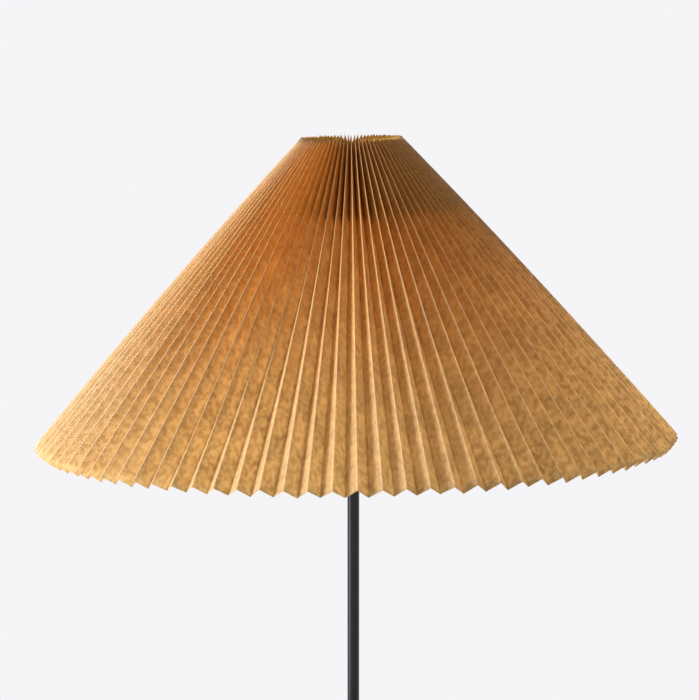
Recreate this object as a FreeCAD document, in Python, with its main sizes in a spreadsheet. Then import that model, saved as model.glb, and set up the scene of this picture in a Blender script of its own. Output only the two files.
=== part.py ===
import FreeCAD, Part
import math
import os
import re
import Sketcher

# A floor lamp: a wide cone of pleated kraft paper on a slim sectional pole with a round weighted base.
# Millimetres, +Z up. The origin is on the floor at the middle of the base. The front faces -Y and the
# cord inlet is at the back, +Y. Threads are left smooth: a male thread is a plain cylinder.

# Driving sizes: name, value, meaning.
SIZES = [
    ("base_radius", 140, "outer radius of the spun base cover"),
    ("cover_height", 22, "top face of the cover above the floor"),
    ("cover_wall", 1.2, "sheet thickness of the cover"),
    ("cover_corner", 7, "outer radius of the cover's rounded edge"),
    ("cover_lift", 1, "gap from the floor to the cover's rim"),
    ("pad_thickness", 3, "felt pad under the weight"),
    ("pad_margin", 6, "pad edge inside the weight's edge"),
    ("weight_gap", 6, "gap from the cover's wall to the weight"),
    ("weight_chamfer", 7, "bevel of the weight's upper edge"),
    ("recess_radius", 24, "recess under the weight, round the nut"),
    ("recess_depth", 9, "depth of that recess"),
    ("channel_width", 13, "cord channel under the weight"),
    ("channel_depth", 10, "depth of the cord channel"),
    ("inlet_height", 8.2, "axis of the cord inlet above the floor"),
    ("inlet_bore", 3.4, "bore radius of the grommet"),
    ("grommet_neck", 4.9, "radius of the grommet where it passes the cover"),
    ("grommet_flange", 6.2, "radius of the grommet's two flanges"),
    ("grommet_lip", 1.4, "thickness of each flange"),
    ("grommet_slack", 0.3, "room between the flanges beyond the cover's wall"),
    ("collar_foot", 16, "radius of the pole collar at the cover"),
    ("collar_neck", 9, "radius of the pole collar at its top"),
    ("collar_height", 14, "height of the pole collar"),
    ("thread_radius", 4, "outer radius of every threaded nipple"),
    ("wire_bore", 2.9, "bore radius of every nipple, for the wires"),
    ("thread_fit", 0.05, "radial clearance round a thread"),
    ("slip_fit", 0.1, "radial clearance of a part that is slipped on"),
    ("washer_radius", 15, "washer under the weight"),
    ("washer_thickness", 2, "its thickness"),
    ("nut_flats", 13, "width across the flats of the base nut"),
    ("nut_height", 5, "height of the base nut"),
    ("pole_radius", 6.35, "outer radius of the pole tube"),
    ("pole_wall", 1.0, "wall of the pole tube"),
    ("lower_length", 415, "lower pole section"),
    ("middle_length", 415, "middle pole section"),
    ("upper_length", 415, "upper pole section"),
    ("bush_length", 15, "threaded bush brazed into each tube end"),
    ("joint_shoulder", 1.5, "visible shoulder of a joining nipple"),
    ("nipple_reach", 13, "length of thread each side of a joint"),
    ("harp_height", 229, "from the pole's top to the hub's underside"),
    ("harp_wire", 2, "radius of the harp wire"),
    ("harp_foot", 32, "half distance between the harp's legs"),
    ("harp_belly", 60, "half width of the harp, to where its runs would meet"),
    ("harp_leg", 42, "straight part of each leg"),
    ("harp_crown", 25, "half length of the harp's flat top, to where its bends would meet"),
    ("saddle_thickness", 1.6, "strip thickness of the harp saddle"),
    ("saddle_width", 12, "strip width of the harp saddle"),
    ("saddle_flat", 15, "half length of the saddle's middle"),
    ("saddle_rise", 13, "height of the saddle's ends over its middle"),
    ("saddle_tab", 5.5, "half length of each end tab"),
    ("post_height", 9, "post on each end tab"),
    ("ferrule_radius", 3.5, "outer radius of a ferrule"),
    ("ferrule_length", 16, "length of a ferrule"),
    ("ferrule_fit", 0.15, "radial clearance of a ferrule on the wire"),
    ("running_gap", 0.1, "gap between two faces that turn on each other"),
    ("stud_radius", 3.1, "threaded stud on top of the harp"),
    ("stud_plate", 8, "radius of the plate that carries the stud"),
    ("plate_thickness", 2.4, "thickness of that plate"),
    ("stud_rise", 7.2, "height of the stud over its plate"),
    ("hub_radius", 13, "outer radius of the spider's hub"),
    ("hub_thickness", 3, "thickness of the hub"),
    ("hub_fit", 0.3, "radial clearance of the hub on the stud"),
    ("arm_radius", 1.4, "radius of a spider arm"),
    ("arm_count", 3, "number of spider arms"),
    ("finial_radius", 14, "outer radius of the disc finial"),
    ("finial_height", 5.6, "height of the disc finial"),
    ("finial_edge", 1.2, "bevel round the finial's top"),
    ("socket_radius", 17, "outer radius of the socket cap"),
    ("socket_wall", 0.8, "wall of the cap and the shell"),
    ("cap_neck", 7.5, "radius of the cap's neck"),
    ("cap_shoulder", 8, "height at which the cap starts to widen out"),
    ("cap_floor", 13, "height at which the cap is full width"),
    ("cap_height", 22, "height of the cap"),
    ("shell_height", 46, "length of the socket shell"),
    ("liner_wall", 0.9, "wall of the insulating liner"),
    ("block_height", 17, "height of the switch block"),
    ("screw_wall", 0.5, "wall of the screw shell"),
    ("screw_length", 24, "length of the screw shell"),
    ("contact_radius", 3, "radius of the centre contact"),
    ("contact_height", 1.6, "height of the centre contact"),
    ("shaft_radius", 2, "switch shaft"),
    ("shaft_depth", 5, "depth of the shaft in the block"),
    ("knob_radius", 5.5, "radius of the switch knob"),
    ("knob_length", 13, "length of the switch knob"),
    ("knob_clearance", 5, "gap from the socket shell to the knob"),
    ("knob_flutes", 12, "number of grip flutes on the knob"),
    ("flute_radius", 0.7, "radius of a grip flute"),
    ("lamp_cap_radius", 13.1, "radius of the bulb's screw cap"),
    ("lamp_cap_length", 25, "length of that cap with its contact"),
    ("lamp_radius", 30, "largest radius of the bulb's glass"),
    ("lamp_length", 108, "length of the whole bulb"),
    ("lamp_neck", 13.6, "radius of the glass where it meets its cap"),
    ("neck_length", 6, "straight part of that neck"),
    ("glass_wall", 0.9, "wall of the bulb's glass"),
    ("shade_bottom_radius", 341, "outer folds at the shade's lower edge"),
    ("shade_top_radius", 52.6, "outer folds at the shade's upper edge"),
    ("shade_height", 318, "height between those two edges"),
    ("shade_bow", 3, "how far the folds bow out at mid slant"),
    ("sheet_count", 10, "glued paper sheets round the shade"),
    ("sheet_pleats", 9, "pleats in each sheet"),
    ("pleat_width", 16.8, "paper between one fold and the next"),
    ("paper_thickness", 0.3, "thickness of the paper"),
    ("lining_thickness", 0.5, "thickness of the lining cone"),
    ("paper_seat", 0.2, "gap from the inner folds to the lining"),
    ("upper_hoop_slant", 12, "upper hoop, down the slant from the top"),
    ("lower_hoop_slant", 99, "lower hoop, down the slant from the top"),
    ("hoop_width", 5, "height of a hoop's flat bar"),
    ("hoop_thickness", 1.5, "thickness of a hoop's flat bar"),
    ("rib_count", 6, "ribs between the hoops"),
    ("rib_thickness", 2.4, "thickness of a rib"),
]

PLEAT_STATIONS = 5  # straight stretches that stand for the bowed folds
BELLY_SHARE = 0.55  # height of the harp's widest point, as a share of its wire's rise
BEND_SHARE = 0.45  # how much of its shorter run a bend of the harp takes up
GLASS_BANDS = {"outside": 7, "inside": 4}  # straight bands of the globe's outline

doc = FreeCAD.newDocument("FloorLamp")
sheet = doc.addObject("Spreadsheet::Sheet", "Sizes")
parts = []


def record_size(name, value, meaning):
    """Write one size into the spreadsheet under its own alias."""
    row = record_size.row = getattr(record_size, "row", 0) + 1
    sheet.set(f"A{row}", name)
    sheet.set(f"B{row}", repr(float(value)))
    sheet.set(f"C{row}", meaning)
    sheet.setAlias(f"B{row}", name)


def size(name):
    """The value of one size, from the spreadsheet."""
    return float(sheet.get(name))


def formula(text):
    """An expression in which each size's alias points to the spreadsheet."""
    return re.sub(r"\b([a-z]+_[a-z_]+)\b", r"Sizes.\1", text)


def bind(target, **expressions):
    """Bind properties of an object to expressions on the sizes; __ stands for a dot."""
    for path, text in expressions.items():
        target.setExpression(path.replace("__", "."), formula(text))


def value(text):
    """The number that an expression on the sizes gives, for a first guess in a sketch."""
    names = {name: size(name) for name in re.findall(r"[a-z]+_[a-z_]+", text)}
    for name in sorted(names, key=len, reverse=True):
        text = re.sub(rf"\b{name}\b", repr(names[name]), text)
    return FreeCAD.Units.Quantity(text).Value


def keep(feature, label):
    """Name a finished piece; its label is its file's name."""
    feature.Label = label
    parts.append(feature)
    return feature


def attach(sketch, body, role):
    """Lay a sketch on one of its body's own origin planes."""
    plane = next(p for p in body.Origin.OriginFeatures if p.Role == role)
    sketch.AttachmentSupport = [(plane, "")]
    sketch.MapMode = "FlatFace"


def outline(sketch, corners):
    """Draw a closed outline whose corners are pinned to pairs of expressions."""
    points = [FreeCAD.Vector(value(across), value(up), 0) for across, up in corners]
    last = len(points) - 1
    for i, point in enumerate(points):
        sketch.addGeometry(Part.LineSegment(point, points[(i + 1) % len(points)]), False)
    for i in range(len(points)):
        following = 0 if i == last else i + 1
        sketch.addConstraint(Sketcher.Constraint("Coincident", i, 2, following, 1))
    for i, (across, up) in enumerate(corners):
        for kind, text, place in (("DistanceX", across, points[i].x), ("DistanceY", up, points[i].y)):
            index = sketch.addConstraint(Sketcher.Constraint(kind, -1, 1, i, 1, place))
            sketch.setExpression(f"Constraints[{index}]", formula(text))


def turned(label, profile, height="0"):
    """A turned piece: a closed profile of (radius, height) corners, revolved about Z."""
    body = doc.addObject("PartDesign::Body", label)
    sketch = body.newObject("Sketcher::SketchObject", label + "_profile")
    attach(sketch, body, "XZ_Plane")
    outline(sketch, profile)
    turn = body.newObject("PartDesign::Revolution", label + "_turn")
    turn.Profile = sketch
    turn.ReferenceAxis = (sketch, ["V_Axis"])
    turn.Angle = 360
    bind(body, Placement__Base__z=height)
    return keep(body, label)


def tube(label, outer, inner, length, height):
    """A plain tube on the axis."""
    profile = [(inner, "0"), (outer, "0"), (outer, length), (inner, length)]
    return turned(label, profile, height)


def cylinder(label, radius, length, height="0"):
    """A plain cylinder on the axis, as a helper for a boolean."""
    feature = doc.addObject("Part::Cylinder", label)
    bind(feature, Radius=radius, Height=length, Placement__Base__z=height)
    return feature


def cut(label, base, tool):
    """One piece with another taken out of it."""
    feature = doc.addObject("Part::Cut", label)
    feature.Base = base
    feature.Tool = tool
    return feature


def group(label, shapes, height="0"):
    """Identical separate solids, kept together in one node."""
    feature = doc.addObject("Part::Feature", label)
    feature.Shape = Part.makeCompound(shapes)
    feature.Placement = FreeCAD.Placement(FreeCAD.Vector(0, 0, value(height)), FreeCAD.Rotation())
    return keep(feature, label)


def around(shape, count, start=0):
    """Copies of a shape, evenly spaced about Z from a starting angle."""
    copies = []
    for i in range(count):
        turned_copy = shape.copy()
        turned_copy.rotate(FreeCAD.Vector(), FreeCAD.Vector(0, 0, 1), start + 360.0 * i / count)
        copies.append(turned_copy)
    return copies


# ---------------------------------------------------------------- the shade's geometry


class Pleats:
    """Where the folds of the shade run, measured down the slant from the upper edge.

    The paper is pleated in parallel folds, so a facet has the same width all the way down.
    The pleats are then drawn together at the top: they stand deep there and open out below.
    """

    def __init__(self):
        self.top = size("shade_top_radius")
        spread = size("shade_bottom_radius") - self.top
        self.slant = math.hypot(spread, size("shade_height"))
        self.out = spread / self.slant
        self.down = size("shade_height") / self.slant
        self.pleats = int(size("sheet_count")) * int(size("sheet_pleats"))
        self.half_pitch = math.pi / self.pleats
        self.closing = 1 - math.cos(self.half_pitch)

    def place(self, slant, inward):
        """Radius and height of a point, inward of the outer folds and square to the slant."""
        along = slant / self.slant
        bow = 4 * size("shade_bow") * along * (1 - along)
        square = bow - inward
        return self.top + slant * self.out + square * self.down, -slant * self.down + square * self.out

    def depth(self, slant):
        """How far the inner folds lie inward of the outer ones."""
        radius = self.place(slant, 0)[0]
        lean = radius * self.down * self.closing
        return lean + math.sqrt(lean**2 - 2 * radius**2 * self.closing + size("pleat_width") ** 2)

    def mitre(self, slant):
        """Half the paper's thickness, measured square to the slant at a fold."""
        outer = self.place(slant, 0)[0]
        inner = self.place(slant, self.depth(slant))[0]
        half_chord = math.sqrt(2 * outer * inner * self.closing)
        return size("paper_thickness") / 2 * size("pleat_width") / half_chord

    def inside(self, slant):
        """How far the innermost paper lies inward of the outer folds."""
        return self.depth(slant) + self.mitre(slant)


def pleated_sheet(pleats):
    """One sheet of accordion pleats, from one inner fold round to another.

    Its faces are flat triangles between the folds, because a facet of constant width twists
    a little on its way from the wide edge to the narrow one.
    """
    folds = 2 * int(size("sheet_pleats")) + 1
    stations = [pleats.slant * j / PLEAT_STATIONS for j in range(PLEAT_STATIONS + 1)]

    def corner(fold, slant, side):
        inward = pleats.depth(slant) * (fold % 2 == 0) + side * pleats.mitre(slant)
        radius, height = pleats.place(slant, inward)
        angle = fold * pleats.half_pitch
        return FreeCAD.Vector(radius * math.cos(angle), radius * math.sin(angle), height)

    grids = {side: [[corner(i, s, side) for s in stations] for i in range(folds)] for side in (-1, 1)}
    faces = []

    def quad(a, b, c, d):
        faces.append(Part.Face(Part.makePolygon([a, b, c, a])))
        faces.append(Part.Face(Part.makePolygon([a, c, d, a])))

    for side, grid in grids.items():
        for i in range(folds - 1):
            for j in range(PLEAT_STATIONS):
                quad(grid[i][j], grid[i + 1][j], grid[i + 1][j + 1], grid[i][j + 1])
    for j in (0, PLEAT_STATIONS):
        for i in range(folds - 1):
            quad(grids[-1][i][j], grids[-1][i + 1][j], grids[1][i + 1][j], grids[1][i][j])
    for i in (0, folds - 1):
        edge = grids[-1][i] + grids[1][i][::-1]
        faces.append(Part.Face(Part.makePolygon(edge + edge[:1])))
    shell = Part.makeShell(faces)
    shell.sewShape()
    solid = Part.makeSolid(shell)
    if solid.Volume < 0:
        solid.reverse()
    return solid


# ---------------------------------------------------------------- base


def make_base():
    """Felt pad, cast weight, spun cover, grommet, and the nut that holds the pole's foot."""
    tube("base_pad", "weight_radius - pad_margin", "recess_radius + pad_margin", "pad_thickness", "0")
    make_weight()
    make_cover()
    make_grommet()
    tube("base_washer", "washer_radius", "thread_radius + slip_fit", "washer_thickness",
         "pad_thickness + recess_depth - washer_thickness")
    make_nut()
    nipple = [("wire_bore", "0"), ("thread_radius", "0"), ("thread_radius", "foot_nipple_length"),
              ("wire_bore", "foot_nipple_length")]
    turned("base_nipple", nipple, "pad_thickness + 1")
    collar = [("pole_radius + slip_fit", "0"), ("collar_foot", "0"), ("collar_foot", "collar_height / 4"),
              ("collar_neck", "collar_height"), ("pole_radius + slip_fit", "collar_height")]
    turned("pole_collar", collar, "cover_height")


def make_weight():
    """Cast-iron disc with a bevelled edge, a recess for the nut and a channel for the cord."""
    bore = "thread_radius + slip_fit"
    disc = turned("base_weight_disc", [
        (bore, "recess_depth"), ("recess_radius", "recess_depth"), ("recess_radius", "0"),
        ("weight_radius", "0"), ("weight_radius", "weight_thickness - weight_chamfer"),
        ("weight_radius - weight_chamfer", "weight_thickness"), (bore, "weight_thickness"),
    ], "pad_thickness")
    parts.remove(disc)
    channel = doc.addObject("Part::Box", "cord_channel")
    bind(channel, Length="channel_width", Width="base_radius", Height="channel_depth",
         Placement__Base__x="-channel_width / 2", Placement__Base__y="recess_radius / 2",
         Placement__Base__z="pad_thickness")
    keep(cut("base_weight", disc, channel), "base_weight")


def make_cover():
    """Spun steel shell with a rounded edge, a hole for the nipple and one for the cord inlet."""
    outer = rounded_disc("cover_outside", "base_radius", "cover_height", "cover_corner")
    side = "base_radius - cover_wall"
    ceiling = "cover_height - cover_wall"
    bevel = "(cover_corner - cover_wall)"
    inner = turned("cover_inside", [
        ("0", "0"), (side, "0"), (side, f"{ceiling} - {bevel}"), (f"{side} - {bevel}", ceiling),
        ("0", ceiling),
    ])
    parts.remove(inner)
    shell = cut("cover_shell", outer, inner)
    hole = cylinder("cover_hole", "thread_radius + slip_fit", "2 * cover_height")
    pierced = cut("cover_pierced", shell, hole)
    inlet = doc.addObject("Part::Cylinder", "inlet_hole")
    bind(inlet, Radius="grommet_neck + slip_fit", Height="4 * weight_gap",
         Placement__Base__y="base_radius - 2 * weight_gap", Placement__Base__z="inlet_height")
    inlet.Placement.Rotation = FreeCAD.Rotation(FreeCAD.Vector(1, 0, 0), -90)
    keep(cut("base_cover", pierced, inlet), "base_cover")


def rounded_disc(label, radius, top, corner):
    """A solid disc from the cover's rim upward, with its upper edge rounded."""
    disc = turned(label, [("0", "cover_lift"), (radius, "cover_lift"), (radius, top), ("0", top)])
    parts.remove(disc)
    doc.recompute()
    turn = disc.Tip
    fillet = disc.newObject("PartDesign::Fillet", label + "_corner")
    fillet.Base = (turn, [rim_edge(turn.Shape, value(radius), value(top))])
    bind(fillet, Radius=corner)
    return disc


def rim_edge(shape, radius, height):
    """The name of the circular edge with this radius at this height."""
    for i, edge in enumerate(shape.Edges):
        curve = edge.Curve
        if isinstance(curve, Part.Circle) and abs(curve.Radius - radius) < 1e-3:
            if abs(curve.Center.z - height) < 1e-3:
                return f"Edge{i + 1}"
    raise ValueError(f"no edge of radius {radius} at height {height}")


def make_grommet():
    """Bush with a flange inside and outside the cover's wall, its axis along Y."""
    back = "base_radius + grommet_lip + thread_fit - grommet_length"
    body = turned("cord_grommet", [
        ("inlet_bore", "0"), ("grommet_flange", "0"), ("grommet_flange", "grommet_lip"),
        ("grommet_neck", "grommet_lip"), ("grommet_neck", "grommet_length - grommet_lip"),
        ("grommet_flange", "grommet_length - grommet_lip"), ("grommet_flange", "grommet_length"),
        ("inlet_bore", "grommet_length"),
    ], "inlet_height")
    body.Placement.Rotation = FreeCAD.Rotation(FreeCAD.Vector(1, 0, 0), -90)
    bind(body, Placement__Base__y=back)


def make_nut():
    """Hexagon nut that clamps the weight and the cover to the pole."""
    prism = doc.addObject("Part::Prism", "nut_blank")
    prism.Polygon = 6
    bind(prism, Circumradius="nut_flats / 2 / cos(30)", Height="nut_height",
         Placement__Base__z="pad_thickness + recess_depth - washer_thickness - nut_height")
    hole = cylinder("nut_hole", "thread_radius + thread_fit", "nut_height",
                    "pad_thickness + recess_depth - washer_thickness - nut_height")
    keep(cut("base_nut", prism, hole), "base_nut")


# ---------------------------------------------------------------- pole


def make_pole():
    """Three tubes with brazed-in bushes, and the shouldered nipples that join them."""
    for name, length, foot in (("lower", "lower_length", "cover_height"),
                               ("middle", "middle_length", "middle_foot"),
                               ("upper", "upper_length", "upper_foot")):
        tube(f"pole_{name}", "pole_radius", "pole_radius - pole_wall", length, foot)
    ring = Part.makeCylinder(size("pole_radius") - size("pole_wall"), size("bush_length"))
    hole = Part.makeCylinder(size("thread_radius") + size("thread_fit"), size("bush_length"))
    bush = ring.cut(hole)
    bushes = []
    for foot, length in (("cover_height", "lower_length"), ("middle_foot", "middle_length"),
                         ("upper_foot", "upper_length")):
        for end in (0, size(length) - size("bush_length")):
            bushes.append(bush.translated(FreeCAD.Vector(0, 0, size(foot) + end)))
    group("pole_bushes", bushes)
    for name, height in (("lower", "middle_foot"), ("upper", "upper_foot")):
        turned(f"joint_nipple_{name}", [
            ("wire_bore", "0"), ("thread_radius", "0"), ("thread_radius", "nipple_reach"),
            ("pole_radius", "nipple_reach"), ("pole_radius", "nipple_reach + joint_shoulder"),
            ("thread_radius", "nipple_reach + joint_shoulder"),
            ("thread_radius", "2 * nipple_reach + joint_shoulder"),
            ("wire_bore", "2 * nipple_reach + joint_shoulder"),
        ], f"{height} - joint_shoulder - nipple_reach")


# ---------------------------------------------------------------- harp and socket


def make_saddle():
    """Bent strip under the socket, with a post at each end for a leg of the harp."""
    blank = doc.addObject("PartDesign::Body", "saddle_blank")
    sketch = blank.newObject("Sketcher::SketchObject", "saddle_profile")
    attach(sketch, blank, "XZ_Plane")
    right = [("saddle_flat", "0"), ("harp_foot - saddle_tab", "saddle_rise"),
             ("harp_foot + saddle_tab", "saddle_rise"),
             ("harp_foot + saddle_tab", "saddle_rise + saddle_thickness"),
             ("harp_foot - saddle_tab", "saddle_rise + saddle_thickness"),
             ("saddle_flat", "saddle_thickness")]
    left = [(f"-({across})", up) for across, up in reversed(right)]
    outline(sketch, right + left)
    pad = blank.newObject("PartDesign::Pad", "saddle_strip")
    pad.Profile = sketch
    pad.Midplane = True
    bind(pad, Length="saddle_width")
    bind(blank, Placement__Base__z="pole_top")
    hole = cylinder("saddle_hole", "thread_radius + slip_fit", "4 * saddle_thickness",
                    "pole_top - saddle_thickness")
    strip = cut("saddle_bent", blank, hole)
    posts = []
    for name, sign in (("left", "-"), ("right", "")):
        post = cylinder(f"saddle_post_{name}", "harp_wire", "post_height",
                        "pole_top + saddle_rise + saddle_thickness")
        bind(post, Placement__Base__x=f"{sign}harp_foot")
        posts.append(post)
    saddle = doc.addObject("Part::MultiFuse", "harp_saddle")
    saddle.Shapes = [strip] + posts
    keep(saddle, "harp_saddle")


def rounded_path(points, share):
    """Straight runs joined by tangent arcs, each a share of its shorter run."""
    edges = []
    start = points[0]
    for before, corner, after in zip(points, points[1:], points[2:]):
        back = (before - corner).normalize()
        ahead = (after - corner).normalize()
        reach = share * min((before - corner).Length, (after - corner).Length)
        half_turn = (math.pi - back.getAngle(ahead)) / 2
        bisector = (back + ahead).normalize()
        radius = reach / math.tan(half_turn)
        centre = corner + bisector * (radius / math.cos(half_turn))
        middle = centre - bisector * radius
        edges.append(Part.LineSegment(start, corner + back * reach).toShape())
        edges.append(Part.Arc(corner + back * reach, middle, corner + ahead * reach).toShape())
        start = corner + ahead * reach
    edges.append(Part.LineSegment(start, points[-1]).toShape())
    return Part.Wire(edges)


def make_harp():
    """Bent wire round the bulb, the stud plate on its crown and a ferrule on each leg."""
    foot = size("saddle_rise") + size("saddle_thickness") + size("post_height")
    crown = size("harp_height") - size("running_gap") - size("plate_thickness") - size("harp_wire")
    legs = size("harp_leg")
    right = [
        FreeCAD.Vector(size("harp_foot"), 0, foot),
        FreeCAD.Vector(size("harp_foot"), 0, foot + legs),
        FreeCAD.Vector(size("harp_belly"), 0, foot + BELLY_SHARE * (crown - foot)),
        FreeCAD.Vector(size("harp_crown"), 0, crown),
    ]
    left = [FreeCAD.Vector(-p.x, 0, p.z) for p in reversed(right)]
    path = rounded_path(right + left, BEND_SHARE)
    section = Part.Wire(Part.makeCircle(size("harp_wire"), right[0], FreeCAD.Vector(0, 0, 1)))
    harp = doc.addObject("Part::Feature", "harp")
    harp.Shape = path.makePipeShell([section], True, False)
    harp.Placement = FreeCAD.Placement(FreeCAD.Vector(0, 0, size("pole_top")), FreeCAD.Rotation())
    keep(harp, "harp")
    turned("harp_stud", [
        ("0", "0"), ("stud_plate", "0"), ("stud_plate", "plate_thickness"),
        ("stud_radius", "plate_thickness"), ("stud_radius", "plate_thickness + stud_rise"),
        ("0", "plate_thickness + stud_rise"),
    ], "hub_seat - running_gap - plate_thickness")
    for name, sign in (("left", "-"), ("right", "")):
        ferrule = tube(f"harp_ferrule_{name}", "ferrule_radius", "harp_wire + ferrule_fit",
                       "ferrule_length", "pole_top + saddle_rise + saddle_thickness + running_gap")
        bind(ferrule, Placement__Base__x=f"{sign}harp_foot")


def make_socket():
    """Cap, shell, liner, switch block, screw shell and contact, threaded on the pole's top."""
    tube("socket_nipple", "thread_radius", "wire_bore", "nipple_reach + saddle_thickness + cap_shoulder",
         "pole_top - nipple_reach")
    bore = "thread_radius + thread_fit"
    turned("socket_cap", [
        (bore, "0"), ("cap_neck", "0"), ("cap_neck", "cap_shoulder"), ("socket_radius", "cap_floor"),
        ("socket_radius", "cap_height"), ("socket_radius - socket_wall", "cap_height"),
        ("socket_radius - socket_wall", "cap_floor + socket_wall / 2"), (bore, "cap_floor + socket_wall / 2"),
    ], "cap_foot")
    shell = tube("shell_blank", "shell_radius", "shell_radius - socket_wall", "shell_height", "shell_foot")
    parts.remove(shell)
    keep(cut("socket_shell", shell, shaft_hole("shell_opening")), "socket_shell")
    liner = tube("liner_blank", "liner_radius", "liner_radius - liner_wall", "shell_height", "shell_foot")
    parts.remove(liner)
    keep(cut("socket_liner", liner, shaft_hole("liner_opening")), "socket_liner")
    block = cylinder("block_blank", "block_radius", "block_height", "shell_foot")
    keep(cut("switch_block", block, shaft_hole("block_opening")), "switch_block")
    tube("screw_shell", "block_radius", "block_radius - screw_wall", "screw_length",
         "shell_foot + block_height")
    turned("centre_contact", [("0", "0"), ("contact_radius", "0"), ("contact_radius", "contact_height"),
                              ("0", "contact_height")], "shell_foot + block_height")


def shaft_hole(label):
    """A cylinder along -Y, from the block's bore outward, as wide as the shaft and its clearance."""
    hole = doc.addObject("Part::Cylinder", label)
    bind(hole, Radius="shaft_radius + slip_fit", Height="2 * socket_radius",
         Placement__Base__y="-(block_radius - shaft_depth - running_gap)", Placement__Base__z="knob_axis")
    hole.Placement.Rotation = FreeCAD.Rotation(FreeCAD.Vector(1, 0, 0), 90)
    return hole


def make_switch():
    """Turn knob and its shaft, their axis along -Y."""
    inner = size("block_radius") - size("shaft_depth")
    knob_start = size("shell_radius") + size("knob_clearance")
    knob_end = knob_start + size("knob_length")
    forward = FreeCAD.Vector(0, -1, 0)
    at = FreeCAD.Placement(FreeCAD.Vector(0, 0, size("knob_axis")), FreeCAD.Rotation())
    shaft = doc.addObject("Part::Feature", "switch_shaft")
    shaft_length = knob_start + size("knob_length") / 2 - inner
    shaft.Shape = Part.makeCylinder(size("shaft_radius"), shaft_length, FreeCAD.Vector(0, -inner, 0), forward)
    shaft.Placement = at
    keep(shaft, "switch_shaft")
    grip = Part.makeCylinder(size("knob_radius"), size("knob_length"),
                             FreeCAD.Vector(0, -knob_start, 0), forward)
    front = [e for e in grip.Edges if isinstance(e.Curve, Part.Circle) and abs(e.Curve.Center.y + knob_end) < 1e-6]
    grip = grip.makeChamfer(size("flute_radius"), front)
    flutes = []
    for i in range(int(size("knob_flutes"))):
        angle = 2 * math.pi * i / size("knob_flutes")
        side = FreeCAD.Vector(math.cos(angle), 0, math.sin(angle)) * size("knob_radius")
        flutes.append(Part.makeCylinder(size("flute_radius"), size("knob_length"),
                                        side + forward * knob_start, forward))
    bore = Part.makeCylinder(size("shaft_radius"), size("knob_length") / 2,
                             FreeCAD.Vector(0, -knob_start, 0), forward)
    knob = doc.addObject("Part::Feature", "switch_knob")
    knob.Shape = grip.cut(flutes + [bore])
    knob.Placement = at
    keep(knob, "switch_knob")


def make_bulb():
    """Opal glass on a screw cap that hangs free in the screw shell."""
    turned("bulb_cap", [
        ("0", "0"), ("contact_radius", "0"), ("contact_radius", "contact_height"),
        ("lamp_cap_radius", "3 * contact_height"), ("lamp_cap_radius", "lamp_cap_length"),
        ("0", "lamp_cap_length"),
    ], "bulb_foot")
    outer = glass_form(0, GLASS_BANDS["outside"])
    inner = glass_form(size("glass_wall"), GLASS_BANDS["inside"])
    glass = doc.addObject("Part::Feature", "bulb_glass")
    glass.Shape = outer.cut(inner)
    glass.Placement = FreeCAD.Placement(FreeCAD.Vector(0, 0, size("bulb_foot")), FreeCAD.Rotation())
    keep(glass, "bulb_glass")


def glass_form(inset, bands):
    """The bulb's glass as a solid: a straight neck, a cone tangent to the globe, and the globe."""
    globe = size("lamp_radius") - inset
    middle = size("lamp_length") - size("lamp_radius")
    foot = size("lamp_cap_length")
    throat = foot + size("neck_length")
    neck = size("lamp_neck") - inset
    below = middle - throat
    touch = math.acos(globe / math.hypot(neck, below)) - math.atan2(below, neck)
    outline = [(0, foot), (neck, foot), (neck, throat)]
    for i in range(bands + 1):
        angle = touch + (math.pi / 2 - touch) * i / bands
        outline.append((globe * math.cos(angle), middle + globe * math.sin(angle)))
    outline[-1] = (0, middle + globe)
    points = [FreeCAD.Vector(radius, 0, height) for radius, height in outline]
    face = Part.Face(Part.makePolygon(points + points[:1]))
    return face.revolve(FreeCAD.Vector(), FreeCAD.Vector(0, 0, 1), 360)


# ---------------------------------------------------------------- shade


def make_shade(pleats):
    """Paper sheets on a lining cone, two hoops with ribs, and the spider that hangs them."""
    paper = pleated_sheet(pleats)
    sheets = int(size("sheet_count"))
    for i in range(sheets):
        feature = doc.addObject("Part::Feature", f"shade_sheet_{i + 1:02d}")
        feature.Shape = paper
        angle = -90 - math.degrees(pleats.half_pitch) + 360.0 * i / sheets
        spin = FreeCAD.Rotation(FreeCAD.Vector(0, 0, 1), angle)
        feature.Placement = FreeCAD.Placement(FreeCAD.Vector(0, 0, size("shade_top")), spin)
        keep(feature, feature.Name)
    make_lining(pleats)
    for name in ("upper", "lower"):
        tube(f"crown_hoop_{name}", f"{name}_hoop_radius", f"{name}_hoop_radius - hoop_thickness",
             "hoop_width", f"{name}_hoop_middle - hoop_width / 2")
    make_ribs()
    turned("spider_hub", [
        ("stud_radius + hub_fit", "0"), ("hub_radius", "0"), ("hub_radius", "hub_thickness"),
        ("stud_radius + hub_fit", "hub_thickness"),
    ], "hub_seat")
    reach = size("upper_hoop_radius") - size("hoop_thickness")
    length = math.sqrt(reach**2 - size("arm_radius") ** 2) - size("hub_radius")
    arm = Part.makeCylinder(size("arm_radius"), length, FreeCAD.Vector(size("hub_radius"), 0, 0),
                            FreeCAD.Vector(1, 0, 0))
    group("spider_arms", around(arm, int(size("arm_count")), 90), "hub_seat + hub_thickness / 2")


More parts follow.
